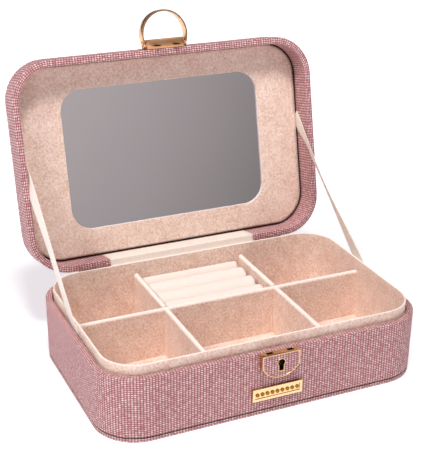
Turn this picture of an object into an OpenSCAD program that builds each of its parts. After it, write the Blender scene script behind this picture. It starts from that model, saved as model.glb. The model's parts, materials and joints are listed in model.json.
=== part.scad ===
// Fabric-covered jewellery box with a mirror in its lid, a divided tray, a ring holder,
// a small key lock and a D-ring pull. It is drawn open, as it stands on a table.
// Origin: middle of the underside. X runs along the front, Y to the back, Z up.

/* [Box] */
// Outer length along the front
box_w = 220; // [180:1:280]
// Outer depth, front to back
box_d = 143.5; // [120:0.5:180]
// Radius of the four upright corners
corner_r = 28; // [18:1:40]
// Height of the base's rim above the table
rim_h = 44; // [36:0.5:60]
// Height of the lid, from its rim to its top
lid_h = 24.5; // [22:0.5:40]
// Angle between the closed and the open lid
open_angle = 102.5; // [95:0.5:110]

/* [Boards and cover] */
// Thickness of the glitter fabric cover
cover_t = 0.5; // [0.3:0.1:0.8]
// Thickness of the base's wall board
base_board_t = 3.6; // [2.5:0.1:5]
// Thickness of the lid's wall board
lid_board_t = 3.9; // [2.5:0.1:5]
// Thickness of the bottom panel
bottom_t = 2.6; // [2:0.1:4]
// Open seam between the bottom panel and the cover above it
seam_gap = 0.5; // [0.3:0.1:1]
// How far the cover is turned down inside the base's rim
turn_in = 6; // [4:0.5:7]
// Radius of the lid's padded top edge
lid_edge_r = 6; // [5:0.5:8]

/* [Mirror] */
// Distance from the lid's sides to the window in the mirror panel
window_side = 36.5; // [30:0.5:60]
// Distance from the lid's hinge edge to the window
window_back = 24.4; // [20:0.1:40]
// Distance from the lid's front edge to the window
window_front = 22.6; // [18:0.1:40]
// Corner radius of the window
window_r = 15; // [5:1:25]
// Thickness of the velvet panel round the mirror
panel_t = 1.5; // [1:0.1:2]
// Thickness of the mirror glass
glass_t = 1.5; // [1:0.1:2]
// How far the glass reaches under the panel on each side
glass_lap = 4; // [3:0.5:8]
// Thickness of the lid's top board
top_board_t = 2; // [1.5:0.1:2.2]

/* [Tray] */
// Thickness of the tray's velvet-covered wall
liner_t = 1.1; // [0.8:0.1:2]
// Height of the tray's lip above the rim
lip_h = 6.3; // [4:0.1:8]
// Thickness of the foam under the tray floor
foam_t = 2.7; // [2:0.1:5]
// Thickness of the tray floor
floor_t = 1.6; // [1:0.1:3]
// Thickness of the dividers
divider_t = 3.6; // [2.4:0.1:4.5]
// Distance of each long divider from the middle
divider_x = 40; // [30:1:45]
// Place of the cross divider, measured back from the middle
cross_y = 10.4; // [-10:0.1:20]
// How far the dividers stop below the rim
divider_drop = 2.4; // [1:0.1:6]

/* [Ring holder] */
// How far the rolls' tops stop below the dividers' tops
roll_drop = 2.2; // [1:0.1:5]

/* [Lock] */
// Width of the lock case
lock_w = 25.6; // [24:0.1:30]
// Height of the lock case
lock_h = 16.8; // [15:0.1:20]
// How far the lock case stands out of the front
lock_d = 5; // [5:0.1:7]
// Radius of the case's curved lower edge
lock_r = 14.3; // [14:0.1:18]
// Wall of the lock case
lock_wall = 0.8; // [0.6:0.1:1]
// Radius of the round part of the keyhole
keyhole_r = 2.4; // [1.2:0.1:2.6]
// Travel of the lock's bolt
bolt_travel = 0.9; // [0.6:0.1:1]

/* [Name plate] */
// Length of the plate
plate_w = 34; // [20:1:50]
// Height of the plate
plate_h = 8.4; // [7:0.1:10]
// Thickness of the plate
plate_t = 1.5; // [1.2:0.1:2]
// Distance between the lock case and the plate below it
plate_gap = 7.7; // [2:0.1:12]

/* [Hasp and ring] */
// Length of the hasp bar on the lid
bar_w = 27; // [26:0.5:32]
// How far the hasp bar stands out of the lid
bar_d = 6.3; // [6:0.1:8]
// Height of the hasp bar
bar_h = 5.4; // [5:0.1:7]
// Distance of each prong from the middle
prong_x = 7; // [6:0.1:8]
// How far the D-ring's band bulges out past its legs
ring_bulge = 0.9; // [0.6:0.1:1.2]
// Thickness of the D-ring's band
ring_t = 1.2; // [0.8:0.1:1.3]
// Depth of the D-ring's band
ring_depth = 6; // [4:0.5:6]

/* [Ribbons and hinge] */
// Width of each stay ribbon
ribbon_w = 10; // [6:0.5:14]
// Thickness of each stay ribbon
ribbon_t = 0.3; // [0.2:0.05:0.3]
// Where a ribbon leaves the base, measured back from the middle
ribbon_y = 2.5; // [-10:0.5:15]
// Where a ribbon leaves the lid, measured from the hinge edge
ribbon_v = 82; // [60:1:95]
// How far the cream strip over the hinge stops short of each rounded corner
strip_short = 27; // [4:1:45]
// How far the covered spine behind the hinge stops short of each rounded corner
spine_short = 4; // [2:1:30]
// How far the spine reaches down the base and up the lid
spine_leg = 13; // [8:0.5:15]

/* [Hidden] */
$fn = 64;

// Fits and clearances
rim_gap = 0.3;          // between the closed rims
hinge_out = 2.15;       // hinge line behind the back wall
lip_gap = 0.4;          // tray lip inside the closed lid
panel_gap = 0.7;        // mirror panel inside the lid's wall
slip = 0.1;             // loose parts glued into the tray
lap_gap = 0.2;          // half-lap joints and hinge strip in its notch
pin_gap = 0.05;         // ring legs on their pins
glue_gap = 0.03;        // hinge cloth beside the open lid that it is glued to
ring_side_gap = 0.4;    // ring legs beside the hasp bar
prong_gap = 0.3;        // prongs in the lock
over = 1;               // how far a cutting shape runs past a face

// Insets from the outer face
base_inset = 2 * cover_t + base_board_t;
lid_inset = 2 * cover_t + lid_board_t;
wall_inset = max(base_inset, lid_inset);
liner_inset = wall_inset + lip_gap;
tray_inset = liner_inset + liner_t;
panel_inset = wall_inset + panel_gap;
top_inset = 2;
board_inset = cover_t + base_board_t;

// Heights in the base
front_y = -box_d / 2;
tray_d = box_d - 2 * tray_inset;
tray_w = box_w - 2 * tray_inset;
floor_z = bottom_t + foam_t + floor_t;
divider_z = rim_h - divider_drop;
lap_z = (floor_z + divider_z) / 2;
lip_z = rim_h + lip_h;

// Lid heights above its own rim, and the closed rim's height
lid_z = rim_h + rim_gap;
wall_top = lid_h - lid_edge_r;
panel_depth = wall_top - panel_t;

// Window in the mirror panel, in the closed lid's position
window_w = box_w - 2 * window_side;
window_h = box_d - window_back - window_front;
window_y = (window_front - window_back) / 2;

// Hinge line and the open lid's directions, in the Y-Z plane
hinge = [box_d / 2 + hinge_out, rim_h + rim_gap / 2];
lid_out = [-cos(open_angle), sin(open_angle)];
lid_up = [sin(open_angle), cos(open_angle)];
lid_zero = hinge + hinge_out * lid_out + rim_gap / 2 * lid_up;

// Ring holder
roll_count = 4;
roll_back = tray_d / 2 - slip;
roll_front = cross_y + divider_t / 2 + slip;
roll_pitch = (roll_back - roll_front) / roll_count;
roll_r = roll_pitch / 2 - slip / 2;
roll_z = divider_z - roll_drop - roll_r;
roll_end_gap = 1;
roll_edge = 1.5;
roll_len = 2 * divider_x - divider_t - 2 * roll_end_gap;

// Lock
lock_top = rim_h;
lock_low = lock_top - lock_h;
lock_face_t = 1.2;
inset_t = 0.35;
inset_depth = 0.5;
frame_w = 0.9;
backplate_t = 0.6;
keyhole_z = lock_top - 6.5;
keyhole_drop = 5.4;
keyhole_half = 1.6;
keyhole_rim_w = 0.55;
prong_w = 3.2;
prong_t = 0.8;
prong_len = 5.2;
prong_y = front_y - 2.2;
hook_w = 1;
bolt_z = lock_top - 3.6;
bolt_t = 0.8;
bolt_d = 2.4;
bolt_len = lock_w - 2 * lock_wall - 2 * bolt_travel - 2 * prong_gap;
bit_r = 1.6;
tab_w = 4.4;
tab_h = 2.2;
tab_t = 0.6;
screw_x = 8.2;
screw_z = lock_low + 8.2;
screw_r = 0.8;
screw_head_r = 1.7;
screw_head_t = 0.7;
post_r = 1.4;
key_post_r = 0.6;
cavity_y = front_y - lock_d + lock_face_t;

// Name plate
plate_z = lock_low - plate_gap - plate_h / 2;
plate_pin_x = plate_w / 2 - 5;
plate_pin_r = 0.7;
plate_rim = 1.6;
plate_recess = 0.5;
bead_count = 9;
bead_r = 1.3;
clip_r = 2;
clip_t = 0.5;

// Hasp and D-ring, in the closed lid's position
bar_z = lid_z + 0.3;
pivot_y = front_y - 3.5;
pivot_z = bar_z + bar_h / 2;
leg_in = bar_w / 2 + ring_side_gap;
leg_out = leg_in + 1.7;
leg_len = 8;
ring_mid_y = pivot_y - 5.5;
ring_r = leg_out + ring_bulge;
ring_inner = ring_r - ring_t;
pin_r = 0.9;
pin_depth = 2;
pin_head_r = 1.5;
pin_head_t = 0.6;
hasp_plate_t = 0.8;
hasp_plate_w = 22;
hasp_plate_h = 15;
rivet_x = 7;
rivet_z = bar_z + 10.5;
rivet_r = 1;
rivet_head_r = 1.8;
rivet_head_t = 0.5;

// Ribbons and hinge cloth
strip_w = box_w - 2 * corner_r - 2 * strip_short;
spine_w = box_w - 2 * corner_r - 2 * spine_short;
ribbon_x = box_w / 2 - wall_inset - lip_gap / 2;
ribbon_low = rim_h - turn_in;
ribbon_end = panel_depth + panel_t - slip;
ribbon_from = [ribbon_y, rim_h];
ribbon_to = lid_point(ribbon_v, panel_depth);
ribbon_dir = (ribbon_to - ribbon_from) / norm(ribbon_to - ribbon_from);
ribbon_side = [-ribbon_dir[1], ribbon_dir[0]];

// A point of the open lid: v away from its hinge edge, w up from its rim plane
function lid_point(v, w) = lid_zero + v * lid_out + w * lid_up;

// A ribbon edge's point at height z, and its point at depth w in the open lid
function edge_at_z(s, z) =
    ribbon_from + s * ribbon_side
    + (z - ribbon_from[1] - s * ribbon_side[1]) / ribbon_dir[1] * ribbon_dir;
function edge_at_w(s, w) =
    let (p = ribbon_from + s * ribbon_side)
    p + (w - (p - lid_zero) * lid_up) / (ribbon_dir * lid_up) * ribbon_dir;

// Outline of the box, drawn in from its outer face
module outline(inset) {
    w = box_w - 2 * inset;
    d = box_d - 2 * inset;
    r = corner_r - inset;
    square([w - 2 * r, d], center = true);
    square([w, d - 2 * r], center = true);
    for (sx = [-1, 1], sy = [-1, 1])
        translate([sx * (w / 2 - r), sy * (d / 2 - r)])
            circle(r);
}

module slab(inset, z0, z1) {
    translate([0, 0, z0])
        linear_extrude(z1 - z0)
            outline(inset);
}

// Wall between two insets of the outline
module wall_ring(outer, inner, z0, z1) {
    difference() {
        slab(outer, z0, z1);
        slab(inner, z0 - over, z1 + over);
    }
}

// Half of an upright section whose top outer edge is rounded by f
module rounded_side(r, h, f) {
    square([r - f, h]);
    square([r, h - f]);
    translate([r - f, h - f])
        intersection() {
            circle(f);
            square(f);
        }
}

module rounded_section(span, h, f) {
    rounded_side(span / 2, h, f);
    mirror([1, 0])
        rounded_side(span / 2, h, f);
}

// Block of the box's outline with its top edge rounded by f
module padded_block(inset, z0, z1, f) {
    w = box_w - 2 * inset;
    d = box_d - 2 * inset;
    r = corner_r - inset;
    for (sx = [-1, 1], sy = [-1, 1])
        translate([sx * (w / 2 - r), sy * (d / 2 - r), z0])
            rotate_extrude()
                rounded_side(r, z1 - z0, f);
    translate([-(w / 2 - r), 0, z0])
        rotate([90, 0, 90])
            linear_extrude(w - 2 * r)
                rounded_section(d, z1 - z0, f);
    translate([0, d / 2 - r, z0])
        rotate([90, 0, 0])
            linear_extrude(d - 2 * r)
                rounded_section(w, z1 - z0, f);
}

// Flat shape in X and Z, from y back to y + t
module upright(y, t) {
    translate([0, y + t, 0])
        rotate([90, 0, 0])
            linear_extrude(t)
                children();
}

// Flat shape in Y and Z, w wide and centred at x
module sideways(x, w) {
    translate([x - w / 2, 0, 0])
        rotate([90, 0, 90])
            linear_extrude(w)
                children();
}

module block(x0, x1, y0, y1, z0, z1) {
    translate([x0, y0, z0])
        cube([x1 - x0, y1 - y0, z1 - z0]);
}

// Round bar along Y from y0 to y1
module bar_y(x, z, r, y0, y1) {
    translate([x, y1, z])
        rotate([90, 0, 0])
            cylinder(h = y1 - y0, r = r);
}

// Round bar along X from x0 to x1
module bar_x(y, z, r, x0, x1) {
    translate([x0, y, z])
        rotate([0, 90, 0])
            cylinder(h = x1 - x0, r = r);
}

// Moves what is drawn in the closed lid's place to the open lid's
module opened() {
    translate([0, hinge[0], hinge[1]])
        rotate([-open_angle, 0, 0])
            translate([0, -hinge[0], -hinge[1]])
                children();
}

// ---- Base ----

module bottom_panel() {
    color("#b27f84")
        slab(cover_t / 2, 0, bottom_t);
}

// Screws of the lock and pins of the name plate, through the front wall
module front_holes(extra) {
    for (s = [-1, 1]) {
        bar_y(s * screw_x, screw_z, screw_r + extra, front_y - over, front_y + base_inset + over);
        bar_y(s * plate_pin_x, plate_z, plate_pin_r + extra, front_y - over, front_y + base_inset + over);
    }
}

module base_wall() {
    color("#8d6a5c")
        difference() {
            wall_ring(cover_t, board_inset, bottom_t, rim_h - cover_t);
            front_holes(slip);
        }
}

// The notch in the cover where the cream strip lies on the board
module strip_notch(inset, z0, z1, rim0, rim1) {
    half = strip_w / 2 + lap_gap;
    block(-half, half, box_d / 2 - inset - over, box_d / 2 + over, rim0, rim1);
    block(-half, half, box_d / 2 - inset - over, box_d / 2 - inset + cover_t, z0, z1);
}

module base_cover() {
    color("#b98590")
        difference() {
            union() {
                wall_ring(0, cover_t, bottom_t + seam_gap, rim_h);
                wall_ring(0, base_inset, rim_h - cover_t, rim_h);
                wall_ring(board_inset, base_inset, rim_h - turn_in, rim_h);
            }
            front_holes(slip);
            strip_notch(base_inset, rim_h - turn_in - over, rim_h + over, rim_h - cover_t, rim_h + over);
        }
}

module tray_liner() {
    color("#e3bfa9")
        wall_ring(liner_inset, tray_inset, bottom_t, lip_z);
}

module floor_foam() {
    color("#d8d2c8")
        slab(tray_inset + slip, bottom_t, bottom_t + foam_t);
}

module tray_floor() {
    color("#e3bfa9")
        slab(tray_inset + slip, bottom_t + foam_t, floor_z);
}

// Long divider with a half-lap slot open at its top
module long_divider(x) {
    half = divider_t / 2;
    color("#ecd0bf")
        difference() {
            block(x - half, x + half, -tray_d / 2 + slip, tray_d / 2 - slip, floor_z, divider_z);
            block(x - half - over, x + half + over, cross_y - half - lap_gap / 2,
                  cross_y + half + lap_gap / 2, lap_z, divider_z + over);
        }
}

module divider_left() {
    long_divider(-divider_x);
}

module divider_right() {
    long_divider(divider_x);
}

// Cross divider with half-lap slots open at its foot
module cross_divider() {
    half = divider_t / 2;
    color("#ecd0bf")
        difference() {
            block(-tray_w / 2 + slip, tray_w / 2 - slip, cross_y - half, cross_y + half, floor_z, divider_z);
            for (s = [-1, 1])
                block(s * divider_x - half - lap_gap / 2, s * divider_x + half + lap_gap / 2,
                      cross_y - half - over, cross_y + half + over, floor_z - over, lap_z);
        }
}

module ring_foam() {
    half = divider_x - divider_t / 2 - slip;
    color("#f3e6da")
        block(-half, half, roll_front, roll_back, floor_z, roll_z - roll_r);
}

// One padded roll with rounded ends; the first lies at the back
module ring_roll(i) {
    color("#f8e9dc")
        translate([-roll_len / 2, roll_back - (i - 0.5) * roll_pitch, roll_z])
            rotate([0, 90, 0])
                rotate_extrude()
                    ring_roll_section();
}

module ring_roll_section() {
    square([roll_r - roll_edge, roll_len]);
    translate([0, roll_edge])
        square([roll_r, roll_len - 2 * roll_edge]);
    for (z = [roll_edge, roll_len - roll_edge])
        translate([roll_r - roll_edge, z])
            circle(roll_edge);
}

// ---- Lock on the base ----

module lock_outline(inset) {
    intersection() {
        translate([-lock_w / 2 + inset, lock_low])
            square([lock_w - 2 * inset, lock_h - inset]);
        translate([0, lock_low + lock_r])
            circle(lock_r - inset);
    }
}

module keyhole_outline(grow) {
    translate([0, keyhole_z])
        circle(keyhole_r + grow);
    translate([-keyhole_half - grow, keyhole_z - keyhole_drop - grow])
        square([2 * (keyhole_half + grow), keyhole_drop + grow]);
}

module lock_body() {
    color("#c98f5e")
        difference() {
            union() {
                difference() {
                    upright(front_y - lock_d, lock_d)
                        lock_outline(0);
                    upright(cavity_y, lock_d)
                        lock_outline(lock_wall);
                    upright(front_y - lock_d - over, inset_depth + over)
                        lock_outline(frame_w);
                    upright(front_y - lock_d - over, lock_d)
                        keyhole_outline(0);
                    for (s = [-1, 1])
                        prong_slot(s);
                }
                for (s = [-1, 1])
                    bar_y(s * screw_x, screw_z, post_r, cavity_y, front_y - backplate_t);
            }
            for (s = [-1, 1])
                bar_y(s * screw_x, screw_z, screw_r, cavity_y + slip, front_y);
        }
}

module prong_slot(s) {
    block(s * prong_x - prong_w / 2 - prong_gap, s * prong_x + prong_w / 2 + prong_gap,
          prong_y - prong_t / 2 - prong_gap / 2, prong_y + prong_t / 2 + prong_gap / 2,
          lock_top - lock_wall - over, lock_top + over);
}

module lock_inset() {
    color("#b98590")
        upright(front_y - lock_d + inset_depth - inset_t, inset_t)
            difference() {
                lock_outline(frame_w + slip / 2);
                keyhole_outline(keyhole_rim_w + slip / 2);
            }
}

module keyhole_rim() {
    color("#d9a06c")
        upright(front_y - lock_d, inset_depth)
            difference() {
                keyhole_outline(keyhole_rim_w);
                keyhole_outline(0);
            }
}

module lock_backplate() {
    color("#8f8a84")
        difference() {
            upright(front_y - backplate_t, backplate_t)
                lock_outline(lock_wall + slip);
            for (s = [-1, 1])
                bar_y(s * screw_x, screw_z, screw_r + slip, front_y - lock_d, front_y + over);
        }
}

module key_post() {
    color("#8f8a84")
        bar_y(0, keyhole_z, key_post_r, cavity_y, front_y - backplate_t);
}

// Flat leaf with a bump that holds the bolt at either end of its travel
module lock_spring() {
    leaf_t = 0.2;
    leaf_w = 7;
    leaf_h = 1.8;
    bump_r = 0.225;
    y1 = front_y - backplate_t;
    color("#b9b4ac") {
        block(-leaf_w / 2, leaf_w / 2, y1 - leaf_t, y1, bolt_z - leaf_h / 2 + bolt_t / 2,
              bolt_z + leaf_h / 2 + bolt_t / 2);
        translate([0, y1 - bump_r, bolt_z])
            cylinder(h = bolt_t, r = bump_r);
    }
}

module lock_screws() {
    head_y = front_y + board_inset;
    color("#b9b4ac")
        for (s = [-1, 1]) {
            bar_y(s * screw_x, screw_z, screw_r, cavity_y + 2 * slip, head_y + screw_head_t / 2);
            bar_y(s * screw_x, screw_z, screw_head_r, head_y, head_y + screw_head_t);
        }
}

// Flat bolt with a window for each prong and a tab for the key's bit
module lock_bolt() {
    bolt_back = front_y - backplate_t - prong_gap - slip;
    color("#b9b4ac")
        difference() {
            union() {
                block(-bolt_len / 2 - bolt_travel / 2, bolt_len / 2 - bolt_travel / 2,
                      bolt_back - bolt_d, bolt_back, bolt_z, bolt_z + bolt_t);
                block(-tab_w / 2, tab_w / 2, bolt_back - tab_t, bolt_back,
                      bolt_z - tab_h, bolt_z + bolt_t / 2);
            }
            for (s = [-1, 1])
                block(s * prong_x - prong_w / 2 - prong_gap, s * prong_x + prong_w / 2 + prong_gap,
                      prong_y - prong_t / 2 - prong_gap / 2, prong_y + prong_t / 2 + prong_gap / 2,
                      bolt_z - over, bolt_z + bolt_t + over);
            bar_y(0, bolt_z - tab_h, bit_r, bolt_back - bolt_d, bolt_back + over);
            for (x = [-bolt_travel, 0])
                translate([x, bolt_back, bolt_z - over])
                    cylinder(h = bolt_t + 2 * over, r = prong_gap + slip);
        }
}

// ---- Name plate ----

module name_plate() {
    y0 = front_y - plate_t;
    color("#f0cf96") {
        difference() {
            block(-plate_w / 2, plate_w / 2, y0, front_y, plate_z - plate_h / 2, plate_z + plate_h / 2);
            block(-plate_w / 2 + plate_rim, plate_w / 2 - plate_rim, y0 - over, y0 + plate_recess,
                  plate_z - plate_h / 2 + plate_rim, plate_z + plate_h / 2 - plate_rim);
        }
        for (i = [0 : bead_count - 1])
            bar_y((i - (bead_count - 1) / 2) * (plate_w - 2 * plate_rim) / bead_count, plate_z,
                  bead_r, y0, y0 + plate_t / 2);
        for (s = [-1, 1])
            bar_y(s * plate_pin_x, plate_z, plate_pin_r, front_y - plate_t / 2,
                  front_y + board_inset + clip_t);
    }
}

module plate_clips() {
    y0 = front_y + board_inset;
    color("#b9b4ac")
        for (s = [-1, 1])
            difference() {
                bar_y(s * plate_pin_x, plate_z, clip_r, y0, y0 + clip_t);
                bar_y(s * plate_pin_x, plate_z, plate_pin_r, y0 - over, y0 + clip_t + over);
            }
}

// ---- Lid, drawn closed and then opened ----

module lid_wall() {
    color("#8d6a5c")
        opened()
            difference() {
                wall_ring(cover_t, cover_t + lid_board_t, lid_z + cover_t, lid_z + wall_top);
                for (s = [-1, 1]) {
                    bar_y(s * rivet_x, rivet_z, rivet_r, front_y - over, front_y + lid_inset);
                    bar_y(s * rivet_x, rivet_z, rivet_head_r, front_y + cover_t + lid_board_t - rivet_head_t,
                          front_y + lid_inset);
                }
            }
}

module lid_cover() {
    color("#b98590")
        opened()
            difference() {
                union() {
                    difference() {
                        padded_block(0, lid_z, lid_z + lid_h, lid_edge_r);
                        padded_block(cover_t, lid_z + cover_t, lid_z + lid_h - cover_t, lid_edge_r - cover_t);
                        slab(lid_inset, lid_z - over, lid_z + over);
                    }
                    wall_ring(lid_inset - cover_t, lid_inset, lid_z + cover_t / 2,
                              lid_z + panel_depth - slip);
                }
                strip_notch(lid_inset, lid_z - over, lid_z + panel_depth, lid_z - over, lid_z + cover_t);
                for (s = [-1, 1])
                    bar_y(s * rivet_x, rivet_z, rivet_r + slip, front_y - over, front_y + cover_t + over);
            }
}

module lid_padding() {
    color("#d8d2c8")
        opened()
            difference() {
                padded_block(cover_t, lid_z + cover_t, lid_z + lid_h - cover_t, lid_edge_r - cover_t);
                slab(-over, lid_z - over, lid_z + wall_top);
                slab(top_inset, lid_z, lid_z + wall_top + glass_t + top_board_t);
            }
}

module lid_top_board() {
    color("#8d6a5c")
        opened()
            slab(top_inset, lid_z + wall_top + glass_t, lid_z + wall_top + glass_t + top_board_t);
}

module window_outline(grow, r) {
    w = window_w + 2 * grow;
    h = window_h + 2 * grow;
    translate([0, window_y]) {
        square([w - 2 * r, h], center = true);
        square([w, h - 2 * r], center = true);
        for (sx = [-1, 1], sy = [-1, 1])
            translate([sx * (w / 2 - r), sy * (h / 2 - r)])
                circle(r);
    }
}

// Velvet-covered panel with a window; it stops short of the hinge wall for the strip
module mirror_panel() {
    hinge_edge = box_d / 2 - lid_inset - 2 * panel_gap - cover_t;
    color("#e9cbbb")
        opened()
            difference() {
                slab(panel_inset, lid_z + panel_depth, lid_z + wall_top);
                block(-box_w, box_w, hinge_edge, box_d, lid_z, lid_z + lid_h);
                translate([0, 0, lid_z])
                    linear_extrude(lid_h)
                        window_outline(0, window_r);
            }
}

module mirror_glass() {
    color("#a39a99")
        opened()
            translate([0, 0, lid_z + wall_top])
                linear_extrude(glass_t)
                    window_outline(glass_lap, glass_lap);
}

module mirror_spacer() {
    color("#8d6a5c")
        opened()
            difference() {
                slab(top_inset, lid_z + wall_top, lid_z + wall_top + glass_t);
                translate([0, 0, lid_z])
                    linear_extrude(lid_h)
                        window_outline(glass_lap + slip, glass_lap);
            }
}

// ---- Hasp and D-ring ----

module hasp_bar() {
    color("#c98f5e")
        opened()
            difference() {
                union() {
                    block(-bar_w / 2, bar_w / 2, front_y - bar_d, front_y, bar_z, bar_z + bar_h);
                    block(-hasp_plate_w / 2, hasp_plate_w / 2, front_y - hasp_plate_t, front_y,
                          bar_z, bar_z + hasp_plate_h);
                    for (s = [-1, 1])
                        prong(s);
                }
                for (s = [-1, 1]) {
                    bar_x(pivot_y, pivot_z, pin_r, s * bar_w / 2 - pin_depth, s * bar_w / 2 + pin_depth);
                    bar_y(s * rivet_x, rivet_z, rivet_r, front_y - bar_d, front_y + over);
                }
            }
}

// Flat prong with a hook for the bolt
module prong(s) {
    difference() {
        block(s * prong_x - prong_w / 2, s * prong_x + prong_w / 2,
              prong_y - prong_t / 2, prong_y + prong_t / 2, bar_z - prong_len, bar_z + prong_t);
        block(s * prong_x - prong_w / 2 - over, s * prong_x - prong_w / 2 + hook_w,
              prong_y - over, prong_y + over, bolt_z - prong_gap, bolt_z + bolt_t + prong_gap);
    }
}

module hasp_rivets() {
    y0 = front_y - hasp_plate_t;
    y1 = front_y + cover_t + lid_board_t;
    color("#d9a06c")
        opened()
            for (s = [-1, 1]) {
                bar_y(s * rivet_x, rivet_z, rivet_r, y0 - rivet_head_t / 2, y1 - slip);
                bar_y(s * rivet_x, rivet_z, rivet_head_r - slip, y1 - rivet_head_t, y1 - slip);
                bar_y(s * rivet_x, rivet_z, rivet_head_r, y0 - rivet_head_t, y0);
            }
}

// Two headed pins pressed into the ends of the hasp bar
module ring_pins() {
    color("#d9a06c")
        opened()
            for (s = [0, 1])
                mirror([s, 0, 0]) {
                    bar_x(pivot_y, pivot_z, pin_r, bar_w / 2 - pin_depth + slip, leg_out + ring_side_gap);
                    bar_x(pivot_y, pivot_z, pin_head_r, leg_out + pin_gap, leg_out + pin_head_t);
                }
}

// Flat shape of the D-ring in X and Y, standing out of the closed lid's front
module ring_outline() {
    difference() {
        union() {
            translate([0, ring_mid_y])
                circle(ring_r);
            for (s = [-1, 1])
                translate([s * (leg_in + leg_out) / 2, pivot_y + ring_depth / 2 - leg_len / 2])
                    square([leg_out - leg_in, leg_len], center = true);
        }
        translate([0, ring_mid_y])
            circle(ring_inner);
        translate([-leg_in, pivot_y - ring_depth / 2])
            square([2 * leg_in, ring_r]);
        translate([-ring_r - over, pivot_y + ring_depth / 2])
            square([2 * ring_r + 2 * over, ring_r]);
    }
}

module d_ring() {
    color("#c98f5e")
        opened()
            difference() {
                intersection() {
                    translate([0, 0, pivot_z - ring_depth / 2])
                        linear_extrude(ring_depth)
                            ring_outline();
                    union() {
                        bar_x(pivot_y, pivot_z, ring_depth / 2, -ring_r - over, ring_r + over);
                        block(-ring_r - over, ring_r + over, pivot_y - 2 * ring_r, pivot_y,
                              pivot_z - ring_depth, pivot_z + ring_depth);
                    }
                }
                bar_x(pivot_y, pivot_z, pin_r + pin_gap, -ring_r - over, ring_r + over);
                for (s = [0, 1])
                    mirror([s, 0, 0])
                        bar_x(pivot_y, pivot_z, pin_head_r + 2 * pin_gap, leg_out, ring_r + over);
            }
}

// ---- Ribbons and hinge cloth ----

// A straight ribbon from inside the base's wall to behind the mirror panel
module ribbon(x) {
    half = ribbon_w / 2;
    color("#f3e8de")
        sideways(x, ribbon_t)
            polygon([
                edge_at_z(-half, ribbon_low), edge_at_w(-half, ribbon_end),
                edge_at_w(half, ribbon_end), edge_at_z(half, ribbon_low)
            ]);
}

module ribbon_left() {
    ribbon(-ribbon_x);
}

module ribbon_right() {
    ribbon(ribbon_x);
}

// Cream strip: down the lid's inner wall, over both rims and into the base
module hinge_strip() {
    y1 = box_d / 2;
    v1 = lid_inset;
    v0 = lid_inset - cover_t + glue_gap;
    w0 = cover_t - glue_gap;
    w1 = panel_depth - slip;
    color("#efd9c8")
        sideways(0, strip_w)
            polygon([
                lid_point(v1, w1), lid_point(v1, 0), lid_point(0, 0),
                [y1, rim_h], [y1 - base_inset, rim_h], [y1 - base_inset, rim_h - turn_in],
                [y1 - board_inset, rim_h - turn_in], [y1 - board_inset, rim_h - cover_t],
                [y1, rim_h - cover_t], lid_point(0, w0), lid_point(v0, w0), lid_point(v0, w1)
            ]);
}

// Covered spine: up the back of the base, across the hinge and along the lid
module hinge_spine() {
    y1 = box_d / 2;
    v1 = -glue_gap;
    v0 = -glue_gap - cover_t;
    bend = cover_t * tan(open_angle / 4);
    color("#b98590")
        sideways(0, spine_w)
            polygon([
                [y1, rim_h - spine_leg], [y1, rim_h - cover_t],
                lid_point(v1, cover_t), lid_point(v1, spine_leg),
                lid_point(v0, spine_leg), lid_point(v0, cover_t + bend),
                [y1 + cover_t, rim_h - cover_t - bend], [y1 + cover_t, rim_h - spine_leg]
            ]);
}

bottom_panel();
base_wall();
base_cover();
tray_liner();
floor_foam();
tray_floor();
divider_left();
divider_right();
cross_divider();
ring_foam();
ring_roll(1);  // ring_roll_1
ring_roll(2);  // ring_roll_2
ring_roll(3);  // ring_roll_3
ring_roll(4);  // ring_roll_4
lock_body();
lock_inset();
keyhole_rim();
lock_backplate();
key_post();
lock_spring();
lock_screws();
lock_bolt();
name_plate();
plate_clips();
lid_wall();
lid_cover();
lid_padding();
lid_top_board();
mirror_panel();
mirror_glass();
mirror_spacer();
hasp_bar();
hasp_rivets();
ring_pins();
d_ring();
ribbon_left();
ribbon_right();
hinge_strip();
hinge_spine();
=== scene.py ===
import json
import math

import bmesh
import bpy
import numpy as np
from mathutils import Matrix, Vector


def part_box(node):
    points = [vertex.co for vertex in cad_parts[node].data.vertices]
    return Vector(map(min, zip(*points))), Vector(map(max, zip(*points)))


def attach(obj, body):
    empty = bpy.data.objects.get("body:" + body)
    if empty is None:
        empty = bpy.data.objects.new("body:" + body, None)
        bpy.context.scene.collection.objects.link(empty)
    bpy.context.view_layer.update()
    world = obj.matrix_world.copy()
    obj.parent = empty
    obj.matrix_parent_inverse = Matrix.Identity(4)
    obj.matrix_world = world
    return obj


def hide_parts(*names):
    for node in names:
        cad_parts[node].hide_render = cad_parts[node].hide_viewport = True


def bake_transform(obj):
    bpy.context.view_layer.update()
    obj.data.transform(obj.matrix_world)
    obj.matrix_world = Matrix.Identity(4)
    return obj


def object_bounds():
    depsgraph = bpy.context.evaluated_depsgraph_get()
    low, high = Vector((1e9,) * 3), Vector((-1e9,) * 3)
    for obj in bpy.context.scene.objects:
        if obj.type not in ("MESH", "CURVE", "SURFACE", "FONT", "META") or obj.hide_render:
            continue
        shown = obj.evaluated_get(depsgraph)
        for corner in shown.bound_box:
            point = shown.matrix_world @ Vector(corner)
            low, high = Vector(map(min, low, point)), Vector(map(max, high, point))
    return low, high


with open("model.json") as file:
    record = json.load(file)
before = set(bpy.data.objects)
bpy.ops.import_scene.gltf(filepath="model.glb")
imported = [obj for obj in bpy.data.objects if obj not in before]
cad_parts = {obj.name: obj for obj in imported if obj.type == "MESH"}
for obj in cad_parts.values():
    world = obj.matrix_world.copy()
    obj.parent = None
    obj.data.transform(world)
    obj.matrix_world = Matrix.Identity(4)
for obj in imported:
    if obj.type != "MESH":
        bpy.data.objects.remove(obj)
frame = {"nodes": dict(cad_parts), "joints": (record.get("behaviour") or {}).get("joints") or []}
cad_low, cad_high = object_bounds()
MM = 0.001

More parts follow.
